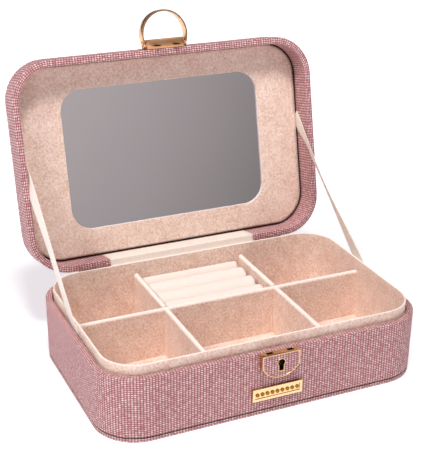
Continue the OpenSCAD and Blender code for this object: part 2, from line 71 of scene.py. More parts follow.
# ---- Camera -------------------------------------------------------------------------------
# A long lens, a little above and to the left of the open box. The lens is shifted, so that the
# box fills an upright frame of 426 by 450 while its upright edges stay nearly parallel.

azimuth, elevation, roll = np.radians([25.38, 26.10, 0.98])
aim = np.array([0, 0, 60 * MM])
distance = 723.6 * MM
looking = np.array([
    math.sin(azimuth) * math.cos(elevation),
    math.cos(azimuth) * math.cos(elevation),
    -math.sin(elevation),
])
level = np.array([math.cos(azimuth), -math.sin(azimuth), 0])
overhead = np.cross(level, looking)
cam_right = level * math.cos(roll) + overhead * math.sin(roll)
cam_up = overhead * math.cos(roll) - level * math.sin(roll)


def standing(right, up, back, place):
    """The matrix of an object that stands at place, with those three unit axes."""
    matrix = np.eye(4)
    matrix[:3] = np.stack([right, up, back, place], axis=1)
    return Matrix(matrix.tolist())


lens = bpy.data.cameras.new("camera")
lens.lens = 88.81
lens.sensor_width = 36
lens.shift_x = -0.0351
lens.shift_y = 0.1174
lens.clip_start = 0.01
lens.clip_end = 50
camera = bpy.data.objects.new("camera", lens)
bpy.context.scene.collection.objects.link(camera)
camera.matrix_world = standing(cam_right, cam_up, -looking, aim - distance * looking)
bpy.context.scene.camera = camera
bpy.context.scene.view_settings.view_transform = "Standard"

# ---- Studio -------------------------------------------------------------------------------
# A white sweep, a softbox on the left, a second one high above, and a dim room. The room is
# pale in one direction only, in front of the box, and gives the mirror its even grey.


def srgb(code):
    """An sRGB hex colour as linear RGBA, by the sRGB curve."""
    c = np.array([int(code[i:i + 2], 16) for i in (1, 3, 5)]) / 255
    linear = np.where(c <= 0.04045, c / 12.92, ((c + 0.055) / 1.055) ** 2.4)
    return (*linear.tolist(), 1.0)


def add_node(tree, kind, inputs=None, **settings):
    """Adds one shader node with its settings. An input is a number, a colour, a socket, or a
    node, which stands for its first output."""
    made = tree.nodes.new("ShaderNode" + kind)
    for name, value in settings.items():
        setattr(made, name, value)
    for socket, value in (inputs or {}).items():
        if isinstance(value, bpy.types.Node):
            value = value.outputs[0]
        if isinstance(value, bpy.types.NodeSocket):
            tree.links.new(value, made.inputs[socket])
        else:
            made.inputs[socket].default_value = value
    return made


def new_material(name):
    """An empty node material and its tree."""
    material = bpy.data.materials.new(name)
    material.use_nodes = True
    material.node_tree.nodes.clear()
    return material, material.node_tree


def finish_material(tree, surface):
    """Ends a material's tree with its output."""
    add_node(tree, "OutputMaterial", {"Surface": surface})


floor_half = 9.0
floor_z = -0.05 * MM
floor_mesh = bpy.data.meshes.new("floor")
floor_mesh.from_pydata(
    [(sx * floor_half, sy * floor_half, floor_z) for sx, sy in ((-1, -1), (1, -1), (1, 1), (-1, 1))],
    [], [(0, 1, 2, 3)])
floor = bpy.data.objects.new("floor", floor_mesh)
bpy.context.scene.collection.objects.link(floor)

# White paper: matt, with a fine grain. It is lit from behind, most away from the box, and so
# stays white.
white_paper, tree = new_material("white_paper_sweep")
place = add_node(tree, "TexCoord").outputs["Object"]
grain = add_node(tree, "TexNoise", {"Vector": place, "Scale": 1 / (2.5 * MM), "Detail": 2.0})
away = add_node(tree, "VectorMath", {0: place}, operation="LENGTH").outputs["Value"]
finish_material(tree, add_node(tree, "BsdfPrincipled", {
    "Base Color": srgb("#f4f3f4"),
    "Roughness": add_node(tree, "MapRange", {"Value": grain, "To Min": 0.8, "To Max": 0.9}),
    "Emission Color": srgb("#f6f5ff"),
    "Emission Strength": add_node(tree, "MapRange", {
        "Value": away, "From Min": 0.12, "From Max": 0.7, "To Min": 0.38, "To Max": 0.95},
        interpolation_type="SMOOTHSTEP"),
}))
floor.data.materials.append(white_paper)


lit_point = np.array([0, 0, 80 * MM])


def softbox(name, place, size, power, colour):
    """A square area light of that size in metres and power in watts, turned to the lit point."""
    light = bpy.data.lights.new(name, "AREA")
    light.size = size
    light.energy = power
    light.color = srgb(colour)[:3]
    lamp = bpy.data.objects.new(name, light)
    bpy.context.scene.collection.objects.link(lamp)
    toward = lit_point - np.array(place)
    back = -toward / np.linalg.norm(toward)
    side = np.cross([0, 0, 1], back)
    side = side / np.linalg.norm(side)
    lamp.matrix_world = standing(side, np.cross(back, side), back, place)


softbox("left_softbox", place=(-1.10, -0.30, 1.28), size=0.40, power=11.4, colour="#fffdfb")
softbox("top_softbox", place=(-0.15, -0.50, 1.60), size=0.34, power=17.8, colour="#fffdfb")

room = bpy.data.worlds.new("studio")
room.use_nodes = True
room.node_tree.nodes.clear()
tree = room.node_tree
pale_side = (0.191, -0.965, 0.178)
toward_it = add_node(tree, "VectorMath", {
    0: add_node(tree, "TexCoord").outputs["Generated"], 1: pale_side,
}, operation="DOT_PRODUCT").outputs["Value"]
add_node(tree, "OutputWorld", {
    "Surface": add_node(tree, "Background", {
        "Color": srgb("#fefafa"),
        "Strength": add_node(tree, "MapRange", {
            "Value": toward_it, "From Min": 0.939, "From Max": 1.0, "To Min": 0.160, "To Max": 0.608})}),
})
bpy.context.scene.world = room

# ---- Bottom panel -------------------------------------------------------------------------
# A flat board wrapped in rose lurex cloth and glued under the walls, a little in from them.
# The cloth is woven in ribs that run up and down, with silver floats across them.

cover_low, cover_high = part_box("base_cover")
box_half = np.array([cad_high[0], (cover_high[1] - cover_low[1]) / 2])
corner = 28 * MM
rib_count = 358
rib_steps = 4
straight = 2 * (box_half - corner)
quarter = corner * math.pi / 2
run = np.cumsum([0] + [straight[1], quarter, straight[0], quarter] * 2)
rib_pitch = run[-1] / rib_count


def rounded_rectangle(q, half_x, half_y, radius):
    """Points of a rounded rectangle: q counts its four sides and four corners from 0 to 8. A
    circle's centre walks along the sides while its angle turns at the corners."""
    knots = np.arange(9)
    side_x = np.interp(q, knots, [1, 1, 1, -1, -1, -1, -1, 1, 1])
    side_y = np.interp(q, knots, [-1, 1, 1, 1, 1, -1, -1, -1, -1])
    turn = np.interp(q, knots, math.pi / 2 * np.array([0, 0, 1, 1, 2, 2, 3, 3, 4]))
    return ((half_x - radius) * side_x + radius * np.cos(turn),
            (half_y - radius) * side_y + radius * np.sin(turn))


def box_outline(s, inset):
    """Points at distance s round the box's outer face, drawn in by inset. Past the corners'
    centres the outline goes on as a plain rectangle, down to a line."""
    q = np.interp(s, run, np.arange(9))
    return rounded_rectangle(q, box_half[0] - inset, box_half[1] - inset, np.maximum(corner - inset, 0))


def rounded_profile(corners, radii):
    """An open line through the corners, each rounded by an arc of its radius: the arc is a
    quadratic curve of five points from one tangent point to the other."""
    line = [np.array(corners[0], float)]
    for before, here, after, radius in zip(corners[:-2], corners[1:-1], corners[2:], radii):
        before, here, after = (np.array(p, float) for p in (before, here, after))
        a = (before - here) / np.linalg.norm(before - here)
        b = (after - here) / np.linalg.norm(after - here)
        t = np.linspace(0, 1, 5)[:, None]
        start, stop = here + radius * a, here + radius * b
        line.extend((1 - t) ** 2 * start + 2 * t * (1 - t) * here + t ** 2 * stop)
    line.append(np.array(corners[-1], float))
    return np.array(line)


def refine(line, step):
    """The same line with points at most step apart, its corners kept."""
    out = [line[:1]]
    for a, b in zip(line[:-1], line[1:]):
        n = max(1, math.ceil(np.linalg.norm(b - a) / step))
        out.append(a + (b - a) * (np.arange(1, n + 1) / n)[:, None])
    return np.concatenate(out)


def along(line):
    """Distance along a line at each of its points."""
    return np.concatenate([[0], np.cumsum(np.linalg.norm(np.diff(line, axis=0), axis=1))])


def shut_round(grid):
    """A grid with its first column again as its last."""
    return np.concatenate([grid, grid[:, :1]], axis=1)


touching = 1e-7


def grid_piece(name, x, y, z, u, v, around=False, closed=False, caps=()):
    """A mesh of a grid of points: row i, column j. around joins the last column to the first,
    closed joins the last row to the first, and caps fills the given rows with one face each.
    u and v, in metres, become the UV map, with one more column or row where it closes. Points
    closer than touching are merged, so that seams and poles are shut."""
    rows, columns = x.shape
    points = np.stack([x, y, z], axis=-1).reshape(-1, 3)
    i, j = np.meshgrid(np.arange(rows if closed else rows - 1),
                       np.arange(columns if around else columns - 1), indexing="ij")
    i, j = i.ravel(), j.ravel()
    steps = [(0, 0), (0, 1), (1, 1), (1, 0)]
    faces = np.stack([((i + a) % rows) * columns + (j + b) % columns for a, b in steps], axis=1)
    uv = np.stack([np.stack([u[i + a, j + b], v[i + a, j + b]], axis=-1) for a, b in steps], axis=1)
    mesh = bpy.data.meshes.new(name)
    listed = faces.tolist()
    for row in caps:
        listed.append((row % rows * columns + np.arange(columns)).tolist())
    mesh.from_pydata(points.tolist(), [], listed)
    cap_uv = [points[row % rows * columns:][:columns, :2] for row in caps]
    flat_uv = np.concatenate([uv.reshape(-1, 2)] + cap_uv)
    mesh.uv_layers.new(name="UVMap").data.foreach_set("uv", flat_uv.astype(np.float32).ravel())
    mesh.polygons.foreach_set("use_smooth", [True] * len(mesh.polygons))
    shape = bmesh.new()
    shape.from_mesh(mesh)
    bmesh.ops.remove_doubles(shape, verts=shape.verts, dist=touching)
    bmesh.ops.recalc_face_normals(shape, faces=shape.faces)
    shape.to_mesh(mesh)
    shape.free()
    piece = bpy.data.objects.new(name, mesh)
    bpy.context.scene.collection.objects.link(piece)
    return piece


# Two slow sine waves in a hand-wrapped board: radians per metre round it and up it, and phase.
slow_waves = ((61, 300, 0), (23, 170, 1.3))


def ribbed_skin(name, line, depth, wave=0, place=None, closed=True, caps=(), pressed=None,
                steps=rib_steps):
    """Cloth carried round the box: line holds (inset, height) points, with the board on its
    right. Ribs of that depth are sunk along its normal as a cosine of the distance round. Where
    there are ribs, the product of the slow waves and what pressed gives are sunk too. place
    turns the points, as for the open lid."""
    s = np.arange(rib_count * steps + 1) * run[-1] / (rib_count * steps)
    if closed:
        tangent = np.roll(line, -1, axis=0) - np.roll(line, 1, axis=0)
    else:
        tangent = np.gradient(line, axis=0)
    tangent = tangent / np.linalg.norm(tangent, axis=1, keepdims=True)
    inward = np.stack([tangent[:, 1], -tangent[:, 0]], axis=1)
    about, up = s[None, :-1], line[:, 1:]
    slow = np.prod([np.sin(a * about + b * up + phase) for a, b, phase in slow_waves], axis=0)
    extra = wave * (0.5 + 0.5 * slow)
    if pressed:
        extra = extra + pressed(about, line)
    ribs = depth[:, None] * (0.5 - 0.5 * np.cos(2 * math.pi * about / rib_pitch))
    sunk = ribs + (depth > 0)[:, None] * extra
    inset = line[:, :1] + inward[:, :1] * sunk
    height = up + inward[:, 1:] * sunk
    x, y = box_outline(np.broadcast_to(about, inset.shape), inset)
    if place:
        x, y, height = place(x, y, height)
    length = along(np.concatenate([line, line[:1]]))[:len(line) + closed]
    u = np.broadcast_to(s[None, :], (len(length), len(s)))
    v = np.broadcast_to(length[:, None], u.shape)
    return grid_piece(name, x, y, height, u, v, around=True, closed=closed, caps=caps)


def use(piece, material):
    """Gives a new piece or a CAD node one material."""
    piece.data.materials.clear()
    piece.data.materials.append(material)


# Woven lurex: a dusty rose ground of matt yarn in ribs, crossed by short floats of flat silver
# yarn that catch the light one by one, more in some places than in others. A rib is 1.9 mm and
# a float's repeat is 1.3 mm, which is coarser than the real thread, so that it shows.
lurex_weave, tree = new_material("rose_lurex_weave")
float_pitch = 1.3 * MM
slub_length = 3.4 * MM
cloth = add_node(tree, "SeparateXYZ", {0: add_node(tree, "UVMap", uv_map="UVMap")})
rib = add_node(tree, "Math", {0: cloth.outputs["X"], 1: 1 / rib_pitch}, operation="MULTIPLY")
rib_number = add_node(tree, "Math", {0: rib}, operation="ROUND")
rib_high = add_node(tree, "MapRange", {
    "Value": add_node(tree, "Math", {
        0: add_node(tree, "Math", {0: rib, 1: 2 * math.pi}, operation="MULTIPLY")}, operation="COSINE"),
    "From Min": -1.0, "From Max": 1.0})
row = add_node(tree, "Math", {0: cloth.outputs["Y"], 1: 1 / float_pitch}, operation="MULTIPLY")
float_high = add_node(tree, "MapRange", {
    "Value": add_node(tree, "Math", {
        0: add_node(tree, "Math", {0: row, 1: 2 * math.pi}, operation="MULTIPLY")}, operation="COSINE"),
    "From Min": -1.0, "From Max": 1.0})
cell = add_node(tree, "CombineXYZ", {
    "X": rib_number, "Y": add_node(tree, "Math", {0: row}, operation="ROUND")})
chance = add_node(tree, "TexWhiteNoise", {"Vector": cell}, noise_dimensions="2D")
ridge = add_node(tree, "MapRange", {
    "Value": rib_high, "From Min": 0.05, "From Max": 0.75, "To Min": 0.16, "To Max": 1.0},
    interpolation_type="SMOOTHSTEP")
dash = add_node(tree, "MapRange", {
    "Value": float_high, "From Min": 0.22, "From Max": 0.72, "To Min": 0.05, "To Max": 1.0},
    interpolation_type="SMOOTHSTEP")
slub = add_node(tree, "TexNoise", {
    "Vector": add_node(tree, "Mapping", {
        "Vector": add_node(tree, "UVMap", uv_map="UVMap"), "Scale": (1 / slub_length, 1 / float_pitch, 1.0)}),
    "Scale": 1.0, "Detail": 1.0})
luck = add_node(tree, "Math", {
    0: add_node(tree, "MapRange", {"Value": chance, "To Min": 0.5, "To Max": 1.0}),
    1: add_node(tree, "MapRange", {
        "Value": slub, "From Min": 0.35, "From Max": 0.65, "To Min": 0.5, "To Max": 1.3})},
    operation="MULTIPLY")
silver = add_node(tree, "Math", {
    0: add_node(tree, "Math", {0: ridge, 1: dash}, operation="MULTIPLY"), 1: luck},
    operation="MULTIPLY", use_clamp=True)
yarn = add_node(tree, "TexNoise", {
    "Vector": add_node(tree, "UVMap", uv_map="UVMap"), "Scale": 1 / (0.45 * MM), "Detail": 2.0})
ground = add_node(tree, "Mix", {0: yarn, 6: srgb("#7f3b42"), 7: srgb("#b0656b")}, data_type="RGBA")
weave_colour = add_node(tree, "Mix", {
    0: silver, 6: ground.outputs[2], 7: srgb("#ffeeeb")}, data_type="RGBA")
weave_height = add_node(tree, "Math", {
    0: add_node(tree, "Math", {0: float_high, 1: rib_high}, operation="MULTIPLY"),
    1: add_node(tree, "Math", {0: yarn, 1: 0.5}, operation="MULTIPLY")}, operation="ADD")
finish_material(tree, add_node(tree, "BsdfPrincipled", {
    "Base Color": weave_colour.outputs[2],
    "Roughness": add_node(tree, "MapRange", {"Value": silver, "To Min": 0.75, "To Max": 0.36}),
    "Specular IOR Level": 0.3, "Sheen Weight": 0.05, "Sheen Roughness": 0.4,
    "Normal": add_node(tree, "Bump", {"Height": weave_height, "Strength": 0.7, "Distance": 0.22 * MM}),
}))

rib_depth = 0.16 * MM
flat_share = 0.4
bottom_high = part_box("bottom_panel")[1]
bottom_inset = box_half[0] - bottom_high[0]
ribs_end = 14 * MM
bottom_line = refine(rounded_profile(
    [(ribs_end, 0), (bottom_inset, 0), (bottom_inset, bottom_high[2]), (ribs_end, bottom_high[2])],
    [0.8 * MM, 1.2 * MM]), 2.5 * MM)
bottom_panel = ribbed_skin(
    "bottom_panel_cloth", bottom_line, np.full(len(bottom_line), flat_share * rib_depth),
    closed=False, caps=(0, -1), steps=2)
use(bottom_panel, lurex_weave)
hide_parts("bottom_panel")
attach(bottom_panel, "base")

# ---- Base wall and its cover --------------------------------------------------------------
# A bent greyboard wall, wrapped in the rose cloth. The cloth is glued up the outside, over the
# rim and down inside, and its lower edge stops just above the bottom panel in a dark seam.

rim_z = cover_high[2]
seam_z = cover_low[2]
cover_t = 0.5 * MM
turn_in = 6 * MM
base_inset = 4.6 * MM
wave_depth = 0.14 * MM
strip_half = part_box("hinge_strip")[1][0]
pressed_half = strip_half + 0.3 * MM
pressed_edge = 1.2 * MM
pressed_depth = 0.36 * MM
face_step, back_step = 2.2 * MM, 12 * MM


def closed_skin(outer, inner, round_outer):
    """A strip of cloth as a closed line: out along its face, with rounded corners, and back
    along the board that it is glued to. Also how many of its points are on the face."""
    face = refine(rounded_profile(outer, round_outer), face_step)
    back = refine(np.array(inner, float), back_step)
    return np.concatenate([face, back]), len(face)


def under_strip(s, line):
    """How far the cloth is pressed in where the cream strip lies on it: behind, from the rim
    inward, with a smooth edge."""
    x, y = box_outline(s, np.zeros_like(s))
    side = np.clip((pressed_half - np.abs(x)) / pressed_edge, 0, 1) * (y > 0)
    over_rim = line[:, :1] > cover_t + 0.1 * MM
    return pressed_depth * side * over_rim


hem_z = seam_z + 0.35 * MM
base_line, base_face = closed_skin(
    [(0.25 * MM, hem_z), (0, hem_z + 0.4 * MM), (0, rim_z), (base_inset, rim_z),
     (base_inset, rim_z - turn_in)],
    [(base_inset - cover_t, rim_z - turn_in), (base_inset - cover_t, rim_z - cover_t),
     (cover_t, rim_z - cover_t), (cover_t, hem_z)],
    [0.2 * MM, 1.0 * MM, 1.0 * MM])
base_depth = np.where(np.arange(len(base_line)) < base_face, rib_depth, 0)
base_cover = ribbed_skin("base_cloth", base_line, base_depth, wave_depth, pressed=under_strip)
use(base_cover, lurex_weave)
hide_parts("base_cover")
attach(base_cover, "base")


def mottled(name, grain, detail, dark, pale, rough, bump=None, noise_roughness=0.5, **shading):
    """A material whose colour drifts between two tones in a noise of that grain. rough is one
    roughness, or two that the noise mixes. bump is the strength and depth of its relief. The
    rest are the shader's other inputs, with _ for each space."""
    material, tree = new_material(name)
    noise = add_node(tree, "TexNoise", {
        "Vector": add_node(tree, "TexCoord").outputs["Object"],
        "Scale": 1 / grain, "Detail": detail, "Roughness": noise_roughness})
    tone = add_node(tree, "Mix", {0: noise, 6: srgb(dark), 7: srgb(pale)}, data_type="RGBA")
    if isinstance(rough, tuple):
        rough = add_node(tree, "MapRange", {"Value": noise, "To Min": rough[0], "To Max": rough[1]})
    inputs = {"Base Color": tone.outputs[2], "Roughness": rough}
    for socket, value in shading.items():
        inputs[socket.replace("_", " ")] = value
    if bump:
        inputs["Normal"] = add_node(tree, "Bump", {"Height": noise, "Strength": bump[0], "Distance": bump[1]})
    finish_material(tree, add_node(tree, "BsdfPrincipled", inputs))
    return material


# Greyboard: pressed recycled fibre, matt and flecked, which shows only at a cut edge.
# Its tones are darker than the board's own: painted shade for the seam and gaps where it shows.
greyboard_and_shade = mottled(
    "greyboard_darkened_as_shade", grain=1.5 * MM, detail=6.0, dark="#33241f", pale="#5d4a40", rough=0.9,
    bump=(0.4, 0.1 * MM))
for node in ("base_wall", "lid_wall", "lid_top_board", "mirror_spacer"):
    use(frame["nodes"][node], greyboard_and_shade)

# ---- Tray ---------------------------------------------------------------------------------
# A card wall wrapped in peach velvet stands inside the base and rises above its rim, so that
# the lid fits round it. The floor is a velvet-covered card on foam.

# Velvet: a dense short pile. It is matt, and glows at its edges, where the pile is seen from
# the side. Its nap is brushed in soft patches, and its tufts, which are too fine to show, are
# drawn as clumps of about 1.4 mm with smaller ones in them.
velvet, tree = new_material("peach_velvet")
place = add_node(tree, "TexCoord").outputs["Object"]
patches = add_node(tree, "TexNoise", {"Vector": place, "Scale": 1 / (9 * MM), "Detail": 3.0})
tufts = add_node(tree, "TexNoise", {
    "Vector": place, "Scale": 1 / (1.4 * MM), "Detail": 4.0, "Roughness": 0.6})
nap = add_node(tree, "Math", {
    0: add_node(tree, "Math", {0: patches, 1: 0.25}, operation="MULTIPLY"),
    1: add_node(tree, "Math", {0: tufts, 1: 0.75}, operation="MULTIPLY")}, operation="ADD")
pile = add_node(tree, "Mix", {
    0: add_node(tree, "MapRange", {"Value": nap, "From Min": 0.35, "From Max": 0.62}),
    6: srgb("#dbb5a1"), 7: srgb("#fbe5d9")}, data_type="RGBA")
# Painted highlight: the pile is painted paler where the cloth folds over a card's top edge, where the light
# from above catches it.
on_fold = add_node(tree, "Attribute", attribute_name="fold").outputs["Fac"]
fold_highlight = add_node(tree, "Mix", {0: on_fold, 6: pile.outputs[2], 7: srgb("#fff3ec")}, data_type="RGBA")
finish_material(tree, add_node(tree, "BsdfPrincipled", {
    "Base Color": fold_highlight.outputs[2], "Roughness": 0.85, "Specular IOR Level": 0.2,
    "Sheen Weight": 0.9, "Sheen Roughness": 0.35, "Sheen Tint": srgb("#ffeadf"),
    "Normal": add_node(tree, "Bump", {"Height": tufts, "Strength": 1.0, "Distance": 0.5 * MM})}))


def points_of(piece):
    """The points of a piece's mesh, as rows of three."""
    points = np.zeros(len(piece.data.vertices) * 3, np.float32)
    piece.data.vertices.foreach_get("co", points)
    return points.reshape(-1, 3)


def paint_fold_highlight(piece, top, reach):
    """Paints a highlight on the pile where the cloth is folded over a card's top, which catches the
    light: the attribute fold rises from 0 to 1 in the last reach below the top."""
    share = np.clip((points_of(piece)[:, 2] - (top - reach)) / reach, 0, 1)
    mark = piece.data.attributes.new("fold", "FLOAT", "POINT")
    mark.data.foreach_set("value", share.astype(np.float32))


liner_low, liner_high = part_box("tray_liner")
liner_inset = box_half[0] - liner_high[0]
liner_t = 1.1 * MM
soft_steps = 480
steps_round = np.arange(soft_steps + 1) * run[-1] / soft_steps
lip_line = refine(rounded_profile(
    [(liner_inset, liner_low[2]), (liner_inset, liner_high[2]), (liner_inset + liner_t, liner_high[2]),
     (liner_inset + liner_t, liner_low[2])], [0.5 * MM, 0.5 * MM]), 5 * MM)


def round_the_box(insets):
    """The box's outline at each of the insets, as a grid."""
    insets = np.broadcast_to(insets[:, None], (len(insets), soft_steps))
    return box_outline(np.broadcast_to(steps_round[:-1], insets.shape), insets)


x, y = round_the_box(lip_line[:, 0])
length = along(np.concatenate([lip_line, lip_line[:1]]))
u = np.broadcast_to(steps_round, (len(length), len(steps_round)))
tray_liner = grid_piece(
    "tray_wall_velvet", x, y, np.broadcast_to(lip_line[:, 1:], x.shape), u,
    np.broadcast_to(length[:, None], u.shape), around=True, closed=True)
paint_fold_highlight(tray_liner, liner_high[2], reach=0.6 * MM)
use(tray_liner, velvet)
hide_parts("tray_liner")
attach(tray_liner, "base")
use(frame["nodes"]["tray_floor"], velvet)

# Foam: open cells under the tray floor, the ring rolls and the lid's top. It is sealed in.
foam, tree = new_material("open_cell_foam")
place = add_node(tree, "TexCoord").outputs["Object"]
cells = add_node(tree, "TexVoronoi", {"Vector": place, "Scale": 1 / (1.2 * MM)})
spongy = add_node(tree, "Mix", {0: cells, 6: srgb("#b8b0a4"), 7: srgb("#ebe5da")}, data_type="RGBA")
finish_material(tree, add_node(tree, "BsdfPrincipled", {
    "Base Color": spongy.outputs[2], "Roughness": 0.95,
    "Normal": add_node(tree, "Bump", {"Height": cells, "Strength": 0.5, "Distance": 0.3 * MM})}))
for node in ("floor_foam", "ring_foam"):
    use(frame["nodes"][node], foam)

# ---- Dividers -----------------------------------------------------------------------------
# Cards wrapped in velvet, so that their top edges are round. Two long ones are slotted from
# above and the cross one from below, and they push into each other as in an egg crate.

long_low, long_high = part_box("divider_left")
cross_low, cross_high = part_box("cross_divider")
half_t = (cross_high[1] - cross_low[1]) / 2
cross_y = (cross_high[1] + cross_low[1]) / 2
divider_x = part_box("divider_right")[0][0] + half_t
lap_z = (long_low[2] + long_high[2]) / 2
lap_half = half_t + 0.1 * MM
mapped_h = 30 * MM


def wrapped_card(name, stations, lows, highs, to_frame):
    """A card with a round top: at each station along it, a section from its low edge up to a
    half circle at its high edge. Two stations at one place make the step of a slot. In its UV
    map each side is mapped_h high. Only its top is round in the light."""
    turn = np.linspace(0, math.pi, 13)
    across = np.concatenate([[half_t], half_t * np.cos(turn), [-half_t]])
    share = np.concatenate([[0], np.ones(len(turn)), [0]])
    rise = np.concatenate([[0], half_t * (np.sin(turn) - 1), [0]])
    stations, lows, highs = (np.array(a, float)[:, None] for a in (stations, lows, highs))
    z = lows + (highs - lows) * share[None] + rise[None]
    u = np.broadcast_to(stations, (len(stations), len(across) + 1))
    v = shut_round(np.broadcast_to(along(np.stack([across, share * mapped_h], axis=1)), z.shape))
    x, y = to_frame(np.broadcast_to(stations, z.shape), np.broadcast_to(across[None], z.shape))
    card = grid_piece(name, x, y, z, u, v, around=True, caps=(0, -1))
    card.data.set_sharp_from_angle(angle=math.radians(50))
    return card


laps = [cross_y + end * lap_half for end in (-1, -1, 1, 1)]
for name, side in (("divider_left", -1), ("divider_right", 1)):
    divider = wrapped_card(
        name + "_velvet", [long_low[1], *laps, long_high[1]],
        [long_low[2]] * 6, [long_high[2]] * 2 + [lap_z] * 2 + [long_high[2]] * 2,
        lambda s, t, side=side: (side * divider_x + t, s))
    paint_fold_highlight(divider, long_high[2], reach=half_t)
    use(divider, velvet)
    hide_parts(name)
    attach(divider, "base")

laps = [side * divider_x + end * lap_half for side in (-1, 1) for end in (-1, -1, 1, 1)]
cross = wrapped_card(
    "cross_divider_velvet", [cross_low[0], *laps, cross_high[0]],
    [cross_low[2], cross_low[2], lap_z, lap_z] * 2 + [cross_low[2]] * 2, [cross_high[2]] * 10,
    lambda s, t: (s, cross_y - t))
paint_fold_highlight(cross, cross_high[2], reach=half_t)
use(cross, velvet)
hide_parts("cross_divider")
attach(cross, "base")

# ---- Ring rolls ---------------------------------------------------------------------------
# Four foam rolls wrapped in cream brushed cloth, packed side by side so that a ring's band
# can be pushed down between two of them. The back one is squeezed against the tray's wall.

# Brushed cloth: a thin knit with a soft raised nap, matt, and a little brighter at its edges.
brushed_cloth = mottled(
    "cream_brushed_cloth", grain=0.8 * MM, detail=5.0, dark="#ecdacf", pale="#f8ede8", rough=0.85,
    bump=(0.35, 0.12 * MM), noise_roughness=0.7, Specular_IOR_Level=0.2, Sheen_Weight=0.3,
    Sheen_Roughness=0.4, Sheen_Tint=srgb("#fff6ee"))

# The depths of gathers, dents and ripples are shares of a roll's half size.
end_share = 0.07
squareness = 2.6
gather_count, gather_depth = 15, 0.030
dent_depth, ripple_depth = 0.012, 0.008
slack = 0.985
slimmer = 0.965


def ring_roll(name, low, high, seed):
    """A roll from box to box: an ellipse carried along X whose size falls to nothing at the
    ends as a superellipse, with small gathers there and slow sine dents along it."""
    middle, half = (low + high) / 2, (high - low) / 2
    t = np.sin(np.linspace(-math.pi / 2, math.pi / 2, 97))[:, None]
    full_turn = np.linspace(0, 2 * math.pi, 49)[None]
    turn = full_turn[:, :-1]
    end = np.clip((np.abs(t) - (1 - end_share)) / end_share, 0, 1)
    radius = (1 - end ** squareness) ** (1 / squareness)
    gathers = gather_depth * end ** 2 * (1 - end) * 4 * np.cos(gather_count * turn + seed)
    dents = dent_depth * np.sin(9 * t + 2 * seed) * np.cos(turn + seed) + ripple_depth * np.sin(23 * t + seed)
    grown = radius * (slack + gathers + dents * (1 - end))
    x = middle[0] + half[0] * t + 0 * turn
    y = middle[1] + slimmer * half[1] * grown * np.cos(turn)
    z = middle[2] + half[2] * grown * np.sin(turn)
    u = np.broadcast_to(half[0] * t, (len(t), full_turn.size))
    v = np.broadcast_to(full_turn * half[2], u.shape)
    return grid_piece(name, x, y, z, u, v, around=True)


squeezed = 8.5 * MM
end_gap = 1.8 * MM
rolls_back, rolls_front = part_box("ring_roll_1")[1][1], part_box("ring_roll_4")[0][1]
edges = np.concatenate([[rolls_back], np.linspace(rolls_back - squeezed, rolls_front, 4)])
for number in (1, 2, 3, 4):
    low, high = (np.array(corner_point) for corner_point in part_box(f"ring_roll_{number}"))
    low[1], high[1] = edges[number], edges[number - 1]
    high[0] -= end_gap
    roll_piece = ring_roll(f"ring_roll_{number}_cloth", low, high, seed=1.7 * number)
    use(roll_piece, brushed_cloth)
    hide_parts(f"ring_roll_{number}")
    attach(roll_piece, "base")

# ---- Lock ---------------------------------------------------------------------------------
# A die-cast case with a curved lower edge, plated rose gold and polished, screwed through the
# wall. Its face holds an inset of the rose cloth, and the keyhole has a thin plated rim.

# Polished plate: a bright metal with a faint haze from handling, and soft even reflections.
rose_gold = mottled(
    "polished_rose_gold_plate", grain=2.5 * MM, detail=4.0, dark="#d6a376", pale="#e9c092",
    rough=(0.16, 0.28), bump=(0.08, 0.1 * MM), Metallic=1.0)

# Stamped steel: cut from rolled sheet, grey and dull, with a fine grain along the rolling.
steel, tree = new_material("stamped_steel")
place = add_node(tree, "TexCoord").outputs["Object"]
grain_scale = (1 / (8 * MM), 1 / MM, 1 / (0.2 * MM))
rolled = add_node(tree, "TexNoise", {
    "Vector": add_node(tree, "Mapping", {"Vector": place, "Scale": grain_scale}),
    "Scale": 1.0, "Detail": 3.0})
finish_material(tree, add_node(tree, "BsdfPrincipled", {
    "Base Color": srgb("#9d9890"), "Metallic": 1.0,
    "Roughness": add_node(tree, "MapRange", {"Value": rolled, "To Min": 0.3, "To Max": 0.5})}))


def merged_copy(node, name, flatten=0):
    """A copy of a CAD part whose loose triangles are joined. Faces that lie within the angle
    flatten of each other are made one."""
    mesh = frame["nodes"][node].data.copy()
    mesh.name = name
    mesh.materials.clear()
    shape = bmesh.new()
    shape.from_mesh(mesh)
    bmesh.ops.remove_doubles(shape, verts=shape.verts, dist=0.002 * MM)
    if flatten:
        bmesh.ops.dissolve_limit(shape, angle_limit=flatten, verts=shape.verts, edges=shape.edges)
    shape.to_mesh(mesh)
    shape.free()
    piece = bpy.data.objects.new(name, mesh)
    bpy.context.scene.collection.objects.link(piece)
    return piece


def dressed(name, edge, body, material):
    """A CAD part as the workshop leaves it: its flat faces are whole and its sharp edges are
    rounded by edge. It stands for the node."""
    piece = merged_copy(name, name + "_dressed", flatten=math.radians(1.5))
    piece.data.polygons.foreach_set("use_smooth", [True] * len(piece.data.polygons))
    bevel = piece.modifiers.new("edges", "BEVEL")
    bevel.width = edge
    bevel.segments = 2
    bevel.limit_method = "ANGLE"
    bevel.angle_limit = math.radians(35)
    bevel.harden_normals = True
    use(piece, material)
    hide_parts(name)
    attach(piece, body)
    return piece


def of_faces(piece, what, columns=3):
    """What the faces of a piece have as their center, normal or area, as rows."""
    values = np.zeros(len(piece.data.polygons) * columns, np.float32)
    piece.data.polygons.foreach_get(what, values)
    return values.reshape(-1, columns)


def second_material(piece, material, chosen):
    """Gives the chosen faces of a piece a material of their own."""
    piece.data.materials.append(material)
    piece.data.polygons.foreach_set("material_index", chosen.astype(np.int32))


lock_case = dressed("lock_body", edge=0.34 * MM, body="base", material=rose_gold)
dressed("keyhole_rim", edge=0.1 * MM, body="base", material=rose_gold)
for node in ("lock_backplate", "lock_spring", "lock_screws", "plate_clips"):
    use(frame["nodes"][node], steel)
